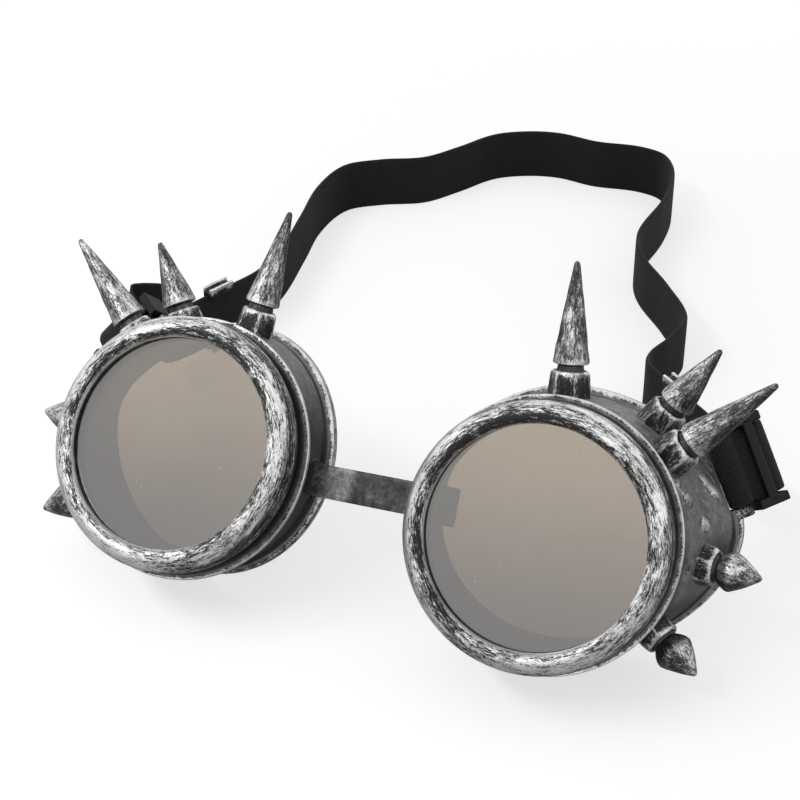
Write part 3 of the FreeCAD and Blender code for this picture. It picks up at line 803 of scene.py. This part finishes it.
def eye_cup(side):
    """Cup skin: collar, lip, tapered wall, stepped rim and inside, as ovals along one closed profile."""
    fillet = 0.18 * MM
    shares = np.linspace(0, 1, 24)
    front = [round_row(collar_bore, collar_front, -.4), round_row(collar_radius, collar_front, -.4),
             round_row(collar_radius, lip_front, -.4), round_row(body_radius, lip_front, -.15),
             round_row(lip_radius - fillet, lip_front, .9), round_row(lip_radius, lip_front + fillet, 1.4),
             round_row(lip_radius, lip_back - fillet, 1.4), round_row(lip_radius - fillet, lip_back, 1.1)]
    wall = [wall_row(s, 0, np.interp(s, *wall_wear_and_shade)) for s in shares]
    rim = [rim_row(rim_step * 0.35, rim_width - rim_step * 0.75, 0.45),
           rim_row(fillet, rim_width - rim_step, 0.75), rim_row(0, rim_width - rim_step - fillet, 0.8)]
    rim += [rim_row(0, ahead, p)
            for ahead, p in zip(np.linspace(2.6, 0.9, 5) * MM, (.62, .6, .62, .7, .8))]
    rim += [rim_row(0, rim_chamfer, 1.0), rim_row(rim_chamfer * 0.35, rim_chamfer * 0.3, 1.1),
            rim_row(rim_chamfer, 0, 0.8), rim_row(rim_chamfer + rim_land, 0, 0.2)]
    lining = [wall_row(s, cup_wall, 0.12) for s in shares[::-1]]
    bore = [round_row(collar_bore, lip_back, 0.1), round_row(collar_bore, lip_front, 0.1)]
    stations = np.array(front + wall + rim + lining + bore)
    a = round_angles(cup_sides)
    rows = oval_rows(stations, a)
    weight = np.concatenate([np.zeros(len(front)), shares ** 3, np.ones(len(rim)), shares[::-1] ** 3,
                             np.zeros(len(bore))])
    rows[:, :, ::2] *= 1 + weight[:, None, None] * lug_flare(a)[None, :, None] / rim_outer
    spots = wall_spots(shares[:, None], a, spot_centres, spot_half)
    feet = [(90 - clock, (depth - lip_back) / wall_run) for clock, depth, _ in seats.values()]
    shade = np.clip(wall_spots(shares[:, None], a, feet, shade_half), 0, 1)
    walls = slice(len(front), len(front) + len(wall))
    rims = slice(walls.stop, walls.stop + len(rim) - 1)
    rows[walls, :, ::2] *= 1 + (spot_rise * spots / body_radius)[:, :, None]
    polish = stations[:, 7:8] + 0.0 * a
    # Painted light lightens the wall towards the brow; painted shade darkens it towards the nose and round
    # the feet of the bosses; the spots are wear
    polish[walls] += painted_brow_light * np.cos(a - brow_angle) - wall_loss - painted_nose_shade * (1 - np.cos(a))
    polish[walls] += spot_gain * np.clip(1.6 * spots, 0, 1) - painted_foot_shade * shade
    polish[rims] += rim_gain * np.sin(a)
    skin = shell(placed(rows, cups[side]), True, polish=polish, grain=rows)
    cup = piece(side + "_cup", [skin], cup_finish)
    cut_out(cup, cup_slots(side))
    fitted(cup, side + "_cup", "antique_silver", side + "_eye_cup")


def six_sided(a, round_share):
    """Reach of a hexagon with eased corners: 1 / cos of the angle from the nearest flat, capped."""
    off = np.abs((a + np.pi / 6) % (np.pi / 3) - np.pi / 6)
    flat = math.cos(math.pi / 6) / np.cos(np.pi / 6 - off)
    return np.minimum(flat, 1 - round_share)


def boss(name, height):
    """Nut-like seat: a six-sided outline drawn in from foot to top, a bevelled edge, a dished top and a foot
    that follows the wall."""
    top = boss_radius - boss_chamfer
    taper = (boss_foot_radius - boss_radius) / (height + 3.3 * MM)
    levels = np.linspace(0, height - boss_chamfer, 8)
    radii = boss_foot_radius - taper * (levels + 4.0 * MM)
    radii = radii + (boss_radius - radii[-1])
    profile = np.column_stack([radii, levels])
    polish = [.42, .32, .28, .28, .30, .34, .42, .6]
    profile = np.vstack([profile, [[boss_radius - 0.3 * boss_chamfer, height - 0.45 * boss_chamfer],
                                   [top + 0.25 * boss_chamfer, height - 0.05 * boss_chamfer],
                                   [top - 0.1 * MM, height], [top - 0.5 * MM, height - 0.25 * MM],
                                   [neck_radius - 0.3 * MM, height - boss_dish]]])
    polish = np.array(polish + [.85, .8, .6, .2, .0])
    a = round_angles(boss_sides)
    hexagon = six_sided(a, 0.025)
    roundness = np.clip((profile[:, 1:2] - (height - boss_chamfer)) / boss_chamfer, 0, 1)
    roundness[-2:] = 1
    radius = profile[:, :1] * ((1 - roundness) * hexagon + roundness * np.minimum(hexagon, 0.93))
    rows = np.stack([radius * np.cos(a), radius * np.sin(a), profile[:, 1:2] + 0 * a], -1)
    foot, axes = seat_frame(name)
    sunk = 1.2 * MM
    for _ in range(4):
        p = placed(rows[0], (foot, axes))
        gap = np.hypot(p[:, 0], p[:, 2]) - wall_reach(np.arctan2(p[:, 0], p[:, 2]), p[:, 1]) + sunk
        rows[0, :, 2] -= gap
    edge = (hexagon > 0.965) * 0.25
    polish = np.clip(polish[:, None] + edge * (polish[:, None] < 0.6), 0, 1)
    return placed(rows, (foot, axes)), polish, rows * np.array([1, 1, 0.35]) + foot


def bosses(side):
    """All the seats of one cup in one piece."""
    skins = []
    for name in seats:
        rows, polish, grain = boss(name, boss_height if "spike" in name else stud_boss_height)
        skins.append(shell(placed(rows, cups[side]), polish=polish, grain=grain))
    nuts = piece(side + "_bosses", skins, boss_finish, boss_smooth_angle)
    fitted(nuts, side + "_cup", "antique_silver")


def spike_profile(length):
    """Cone on a neck: neck, flare, short band and a straight taper to a blunt nib, with its polish."""
    base = boss_height + neck_height
    tip = base + length
    band = base + spike_flare
    return finer([
        [neck_radius, boss_height - boss_dish, 0.05], [neck_radius - 0.25 * MM, base - 0.2 * MM, 0.1],
        [neck_radius, base, 0.15], [spike_radius - 0.2 * MM, base + 0.6 * spike_flare, 0.5],
        [spike_radius, band, 0.8], [spike_radius, band + spike_band, 0.65],
        [spike_radius - 0.12 * MM, band + spike_band + 0.5 * MM, 0.5],
        [0.5 * (spike_radius + spike_tip), base + 0.52 * length, 0.46],
        [spike_tip, tip - spike_tip, 0.35], [0.75 * spike_tip, tip - 0.35 * spike_tip, 0.3],
        [0.4 * spike_tip, tip - 0.06 * spike_tip, 0.3]], 0.7 * MM)


def stud_profile():
    """Acorn: neck, a sine swelling to the belly, then a nose whose radius falls with a power of its run."""
    base = stud_boss_height + stud_neck_height
    belly = stud_belly_share * stud_length
    tip = base + stud_length
    s = np.linspace(0, 1, 10)
    foot = np.column_stack([neck_radius + (stud_radius - neck_radius) * np.sin(s * np.pi / 2),
                            base + s * belly, np.interp(s, [0, .3, 1], [.1, .4, .55])])
    s = np.linspace(0, 1, 26)[1:-1]
    nose = np.column_stack([stud_tip + (stud_radius - stud_tip) * (1 - s ** stud_nose_power),
                            base + belly + s * (stud_length - belly),
                            np.interp(s, [0, .4, 1], [.6, .6, .75])])
    start = [[neck_radius, stud_boss_height - boss_dish, 0.05],
             [neck_radius - 0.3 * MM, base - 0.25 * MM, 0.05]]
    end = [[stud_tip, tip - 0.15 * MM, .8], [0.5 * stud_tip, tip - 0.03 * MM, .8]]
    return np.vstack([start, foot, nose, end])


def spikes(side):
    """Each spike or stud is its profile carried round the seat's axis; its grain is drawn out along it."""
    a = round_angles(spike_sides)
    grain_draw = np.array([1, 1, 0.22])
    grain_shift = np.array([0.011, 0.007, 0.013])
    for k, name in enumerate(seats):
        length = short_spike if "rear" in name else long_spike
        profile = stud_profile() if "stud" in name else spike_profile(length)
        radius, height, polish = (profile[:, i:i + 1] for i in range(3))
        wobble = 1 + 0.012 * np.sin(3 * a + k + 900 * height) + 0.008 * np.sin(5 * a - 2 * k + 1400 * height)
        rows = np.stack([radius * wobble * np.cos(a), radius * wobble * np.sin(a), height + 0 * a], -1)
        grain = rows * grain_draw + grain_shift * (k + (len(seats) if side == "left" else 0))
        where = inside(cups[side], *seat_frame(name))
        # Painted light: each spike and stud gains polish on its upper side and loses it on its lower side
        upward = np.cos(a) * where[1][0, 2] + np.sin(a) * where[1][1, 2]
        lowered = stud_loss_and_shade.get(name, spike_loss) + side_loss[side]
        skin = shell(placed(rows, where), polish=polish - lowered + painted_top_light * upward, grain=grain)
        thing = piece(side + "_" + name + "_skin", [skin], spike_finish)
        fitted(thing, side + "_cup", "spike_silver", side + "_" + name)


def lug(side):
    """Two rounded ears that carry the strap bar."""
    inner = strap_width / 2 + free_gap
    half_x = (bar_standoff + ear_margin + lug_depth_in) / 2
    skins = []
    for end in (-1, 1):
        ear = rounded_bar((lug_reach - lug_depth_in + half_x, bar_centre[1], end * (inner + ear_width / 2)),
                          (half_x, ear_thickness / 2, ear_width / 2), 1.0 * MM)
        skins.append(shell(placed(ear, lug_frame(side)), polish=np.full(ear.shape[:2], 0.42), grain=ear))
    bar = rounded_bar(bar_centre, (bar_radius, bar_radius, inner + ear_width / 2), bar_radius * 0.98)
    skins.append(shell(placed(bar, lug_frame(side)), polish=np.full(bar.shape[:2], 0.3), grain=bar))
    fitted(piece(side + "_lug", skins, boss_finish), side + "_cup", "antique_silver")


def strap_slider(side):
    """Moulded slider: two rails across the strap's edges, a bar ahead of the layers and two behind."""
    clear = layer_offset + strap_thickness / 2 + free_gap
    opening = strap_width + 2 * free_gap
    length = 2 * glide_bar + glide_centre_bar + 2 * glide_gap
    depth = clear + glide_bar_thickness
    middle = glide_start + length / 2
    bar_y = clear + glide_bar_thickness / 2
    reach = opening / 2 + 0.5 * glide_rail
    bars = [((middle, 0, z), (length / 2, depth, glide_rail / 2), 0) for z in
            (opening / 2 + glide_rail / 2, -opening / 2 - glide_rail / 2)]
    bars.append(((middle, -bar_y, 0), (glide_centre_bar / 2, glide_bar_thickness / 2, reach), 2))
    for x in (glide_start + glide_bar / 2, glide_start + length - glide_bar / 2):
        bars.append(((x, bar_y, 0), (glide_bar / 2, glide_bar_thickness / 2, reach), 2))
    skins = [shell(placed(rounded_bar(c, h, 0.45 * MM, along), tab_frame(side))) for c, h, along in bars]
    thing = piece(side + "_slider", skins, slider_finish)
    fitted(thing, side + "_cup", "slider_black", side + "_strap_slider")


def run_frame(run):
    """Frame of a level run of the strap: x along it, y through it, z up."""
    share, heading = run
    origin = np.array([share[0] * strap_spread + lens_middle[0], share[1] * strap_reach + lens_middle[1],
                       strap_width / 2 + free_gap + slide_end])
    return origin, turn_z(heading)


def metal_slide(side, run):
    """Stamped keeper: a plate behind the strap, recessed webs past its edges, lips hooked over its front."""
    clear = strap_thickness / 2 + free_gap
    opening = strap_width / 2 + free_gap
    half = slide_length / 2
    bars = [((0, clear + slide_plate / 2, 0), (half, slide_plate / 2, opening + slide_end), 2)]
    for end in (-1, 1):
        web_half = (slide_end - slide_web + 0.1 * MM) / 2
        bars.append(((0, 0, end * (opening + web_half)), (half, clear + 0.5 * slide_plate, web_half), 0))
        lip_half = (slide_lip + slide_end) / 2
        bars.append(((0, -clear - slide_plate / 2, end * (opening + slide_end - lip_half)),
                     (half, slide_plate / 2, lip_half), 0))
    skins = []
    for centre, half_size, along in bars:
        bar = rounded_bar(centre, half_size, min(0.28 * MM, half_size[1] * 0.8, half_size[2] * 0.8), along)
        # Painted reflection: only the outer ends of the back plate and the front lips show bright steel, the
        # rest keeps the dark coat
        edge = np.abs(bar[:, :, 2]) - (opening + slide_end - 1.25 * MM)
        polish = np.clip(edge / (0.3 * MM) + 0.5, 0.0, 1.0) * (abs(centre[1]) > clear)
        skins.append(shell(placed(bar, run_frame(run)), polish=polish, grain=bar))
    thing = piece(side + "_slide_plates", skins, slide_dark_reflection_finish)
    fitted(thing, side + "_slide", "slide_steel", side + "_metal_slide")


def bridge():
    """Flat rounded section carried from the head in one cup, through both slots, to the head in the other."""
    wall = float(wall_reach(-math.pi / 2, strip_depth))
    head = wall - cup_wall - head_gap
    nib = 0.35 * MM
    ends = [(head - head_length, head_height / 2 - nib), (head - head_length + nib, head_height / 2),
            (head - nib, head_height / 2), (head, strip_height / 2 + nib), (head + nib, strip_height / 2),
            (wall, strip_height / 2), (wall + 3.0 * MM, strip_height / 2)]
    centres, ups, backs, halves = [], [], [], []
    for side in ("right", "left"):
        group = ends if side == "right" else ends[::-1]
        x = np.array([-e[0] for e in group])
        local = np.stack([x, np.full(len(x), strip_depth), np.full(len(x), strip_lift)], 1)
        centres.append(placed(local, cups[side]))
        ups.append(np.repeat(cups[side][1][2:3], len(x), 0))
        backs.append(np.repeat(cups[side][1][1:2], len(x), 0))
        halves.append(np.array([e[1] for e in group]))
    u = np.linspace(0, 1, 24)[1:-1, None]
    between = [group[0][-1] * (1 - u) + group[1][0] * u for group in (centres, ups, backs)]
    centre = np.vstack([centres[0], between[0], centres[1]])
    up = np.vstack([ups[0], between[1], ups[1]])
    back = np.vstack([backs[0], between[2], backs[1]])
    up /= np.linalg.norm(up, axis=1, keepdims=True)
    back /= np.linalg.norm(back, axis=1, keepdims=True)
    half = np.concatenate([halves[0], np.full(len(u), strip_height / 2), halves[1]])
    section = box_section(1.0, 1.0, 0.3)
    rows = (centre[:, None] + back[:, None] * (section[None, :, 0:1] * strip_thickness / 2)
            + up[:, None] * (section[None, :, 1:2] * half[:, None, None]))
    # Painted highlight: a reflection along the twisted strip, as polish rising and falling along its length
    painted_highlight = np.interp(np.linspace(0, 1, len(rows)), *bridge_painted_highlight)[:, None]
    skin = shell(rows, polish=1.1 * painted_highlight - 0.1 + 0 * rows[:, :, 0], grain=rows)
    fitted(piece("bridge", [skin], bridge_finish), "strap_and_bridge", "bridge_black", "bridge_strip")


def smooth_line(points, start, end, steps=10):
    """Cubic curve through points whose slopes are the chords beside them, with the two end slopes given."""
    points = np.asarray(points, float)
    spans = np.linalg.norm(np.diff(points, axis=0), axis=1)
    slopes = np.vstack([start, (points[2:] - points[:-2]) / (spans[:-1] + spans[1:])[:, None], end])
    u = np.linspace(0, 1, steps, endpoint=False)[None, :, None]
    far = 3 * u ** 2 - 2 * u ** 3
    span = spans[:, None, None]
    line = (points[:-1, None] * (1 - far) + points[1:, None] * far
            + slopes[:-1, None] * span * (u ** 3 - 2 * u ** 2 + u)
            + slopes[1:, None] * span * (u ** 3 - u ** 2))
    return np.vstack([line.reshape(-1, 3), points[-1:]])


def lug_loop(side):
    """Strap line from its cut end, in round the bar and out to the front layer, in the tab's frame."""
    wrap = bar_radius + free_gap + strap_thickness / 2
    fold = math.radians(fold_angle)
    reach = wrap * math.cos(fold) + (wrap * math.sin(fold) - layer_offset) / math.tan(fold)
    a = -fold - np.radians(np.linspace(0, 360 - 2 * fold_angle, 28))
    ease = np.linspace(0, 1, 5)[1:-1]
    back_fold = np.column_stack([reach + (wrap * math.cos(fold) - reach) * ease,
                                 -layer_offset + (layer_offset - wrap * math.sin(fold)) * ease])
    flat = np.vstack([[[end_length, -layer_offset]], [[(end_length + reach) / 2, -layer_offset]],
                      [[reach, -layer_offset]], back_fold,
                      np.column_stack([wrap * np.cos(a), wrap * np.sin(a)]),
                      (back_fold * np.array([1, -1]))[::-1], [[reach, layer_offset]]])
    return placed(np.column_stack([flat[:, 0], -flat[:, 1], 0 * flat[:, 0]]), tab_frame(side))


def turn_back(side):
    """Strap line where it turns back behind a slider: a quarter circle in a plane pitched up from the tab's
    own, and the way it leaves."""
    pitch = math.radians(turn_pitches[side])
    a = np.radians(np.linspace(0, turn_angle, 16))
    back = turn_radius * (1 - np.cos(a))
    line = np.column_stack([turn_starts[side] + turn_radius * np.sin(a),
                            back * math.cos(pitch) - layer_offset, back * math.sin(pitch)])
    end = math.sin(a[-1])
    leaving = np.array([math.cos(a[-1]), end * math.cos(pitch), end * math.sin(pitch)])
    return placed(line, tab_frame(side)), leaving @ tab_frame(side)[1]


def strap_line():
    """Centre line and upward direction of the whole strap, from its right cut end to its left one."""
    right_up, left_up = tab_frame("right")[1][2], tab_frame("left")[1][2]
    (right_turn, right_leaving), (left_turn, left_leaving) = turn_back("right"), turn_back("left")
    (right_centre, right_rows), (left_centre, left_rows) = run_frame(right_run), run_frame(left_run)
    right_way, left_way = right_rows[0], left_rows[0]
    first = np.vstack([lug_loop("right"), right_turn[:-1]])
    falling = smooth_line([right_turn[-1], right_centre + right_way * run_half],
                          right_leaving, -right_way, 24)
    shares = np.array(route_shares)
    floor = np.column_stack([shares * np.array([strap_spread, strap_reach]) + lens_middle[:2],
                             np.full(len(shares), strap_width / 2)])
    middle = np.vstack([right_centre - right_way * run_half, floor, left_centre + left_way * run_half])
    middle = smooth_line(middle, -right_way, -left_way)
    middle[:, 2] = np.maximum(middle[:, 2], strap_width / 2)
    rising = smooth_line([left_centre - left_way * run_half, left_turn[-1]], -left_way, -left_leaving, 24)
    last = np.vstack([left_turn[-2::-1], lug_loop("left")[::-1]])
    upright = np.array([0.0, 0.0, 1.0])
    down = np.linspace(0, 1, len(falling))[:, None]
    rise = np.linspace(0, 1, len(rising))[:, None]
    line = np.vstack([first, falling, middle, rising, last])
    up = np.vstack([np.repeat(right_up[None], len(first), 0), right_up * (1 - down) + upright * down,
                    np.repeat(upright[None], len(middle), 0), upright * (1 - rise) + left_up * rise,
                    np.repeat(left_up[None], len(last), 0)])
    keep = np.concatenate([[True], np.linalg.norm(np.diff(line, axis=0), axis=1) > 1e-5])
    return line[keep], up[keep]


def strap():
    """Webbing section carried along the strap's line, made in two halves; each half starts at the lug of one
    cup.
    """
    line, up = strap_line()
    along = np.gradient(line, axis=0)
    along /= np.linalg.norm(along, axis=1, keepdims=True)
    wide = up - along * np.sum(up * along, axis=1, keepdims=True)
    wide /= np.linalg.norm(wide, axis=1, keepdims=True)
    through = np.cross(along, wide)
    run = run_along(line)
    half, thick = strap_width / 2, strap_thickness / 2
    across = half * np.array([-1, -.985, -.94, -.7, -.35, 0, .35, .7, .94, .985])
    deep = thick * np.array([0, .6, .92, 1, 1, 1, 1, 1, .92, .6])
    across = np.concatenate([across, -across])
    deep = np.concatenate([deep, -deep])
    rows = line[:, None] + wide[:, None] * across[None, :, None] + through[:, None] * deep[None, :, None]
    split = int(np.searchsorted(run, run[-1] / 2))
    halves = {"right": slice(0, split + 1), "left": slice(split, len(line))}
    for side, part in halves.items():
        skin = shell(rows[part], along=run[part][:, None] + 0 * across,
                     across=across[None] + 0 * run[part][:, None])
        thing = piece(side + "_strap_half", [skin], strap_finish, strap_smooth_angle)
        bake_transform(thing)
        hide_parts("head_strap")


for side in ("right", "left"):
    front_ring(side)
    lens(side)
    eye_cup(side)
    bosses(side)
    spikes(side)
    lug(side)
    strap_slider(side)
    seal = frame["nodes"][side + "_lens_gasket"]
    seal.data.materials.clear()
    seal.data.materials.append(gasket_finish)
metal_slide("right", right_run)
metal_slide("left", left_run)
bridge()
strap()


# Table, light and camera

def table():
    """Pale floor, white to the camera and through the lenses, which keeps the goggles' soft shadow."""
    mesh = bpy.data.meshes.new("table")
    reach = 3.0
    corners = [(-reach, -reach, 0), (reach, -reach, 0), (reach, reach, 0), (-reach, reach, 0)]
    mesh.from_pydata(corners, [], [(0, 1, 2, 3)])
    material, tree, shader = blank_material("pale_table", Roughness=0.9, Specular_IOR_Level=0.0)
    shader.inputs["Base Color"].default_value = (0.62, 0.62, 0.62, 1)
    rays = put(tree, "ShaderNodeLightPath")
    shown = maths(tree, "MAXIMUM", rays.outputs["Is Camera Ray"], rays.outputs["Is Transmission Ray"])
    shader.inputs["Emission Color"].default_value = (1, 1, 1, 1)
    glow = 0.65
    tree.links.new(maths(tree, "MULTIPLY", shown, glow), shader.inputs["Emission Strength"])
    floor = made("table", mesh, material)


def soft_light(name, place, size, power):
    """Square soft box that faces the middle of the goggles."""
    lamp = bpy.data.lights.new(name, "AREA")
    lamp.size = size
    lamp.energy = power
    box = bpy.data.objects.new(name, lamp)
    box.location = place
    aim = lens_middle - np.array(place)
    box.rotation_euler = (math.acos(-aim[2] / np.linalg.norm(aim)), 0, math.atan2(aim[0], -aim[1]))
    box.rotation_mode = "XYZ"
    bpy.context.scene.collection.objects.link(box)


def surroundings():
    """White studio: full strength where camera, glossy and transmission rays see it, less as a light."""
    light_strength = 0.45
    world = bpy.data.worlds.new("studio")
    bpy.context.scene.world = world
    world.use_nodes = True
    tree = world.node_tree
    rays = put(tree, "ShaderNodeLightPath")
    seen = maths(tree, "MAXIMUM", rays.outputs["Is Camera Ray"],
                 maths(tree, "MAXIMUM", rays.outputs["Is Glossy Ray"], rays.outputs["Is Transmission Ray"]))
    ground = tree.nodes["Background"]
    ground.inputs["Color"].default_value = (1, 1, 1, 1)
    between = {0: seen, 1: 0.0, 2: 1.0, 3: light_strength, 4: 1.0}
    strength = put(tree, "ShaderNodeMapRange", between).outputs[0]
    tree.links.new(strength, ground.inputs["Strength"])


def camera():
    """Eye in front, to the right and above, as the two lens ellipses of the photograph give it."""
    eye = bpy.data.cameras.new("photo_eye")
    eye.sensor_width = 36.0
    eye.lens = 84.6
    eye.clip_start = 0.01
    thing = bpy.data.objects.new("photo_eye", eye)
    from_lenses = np.array([151.8, -325.4, 252.3]) * MM
    looks_down = 32.4
    looks_left = 23.0
    thing.location = lens_middle + from_lenses
    thing.rotation_euler = (math.radians(90 - looks_down), 0, math.radians(looks_left))
    bpy.context.scene.collection.objects.link(thing)
    bpy.context.scene.camera = thing


table()
soft_light("key_light", (-0.55, -0.75, 1.05), 0.8, 20.0)
soft_light("fill_light", (0.85, -0.55, 0.75), 0.7, 8.0)
soft_light("back_light", (0.1, 0.9, 0.95), 0.7, 8.0)
surroundings()
camera()
bpy.context.scene.view_settings.view_transform = "Standard"
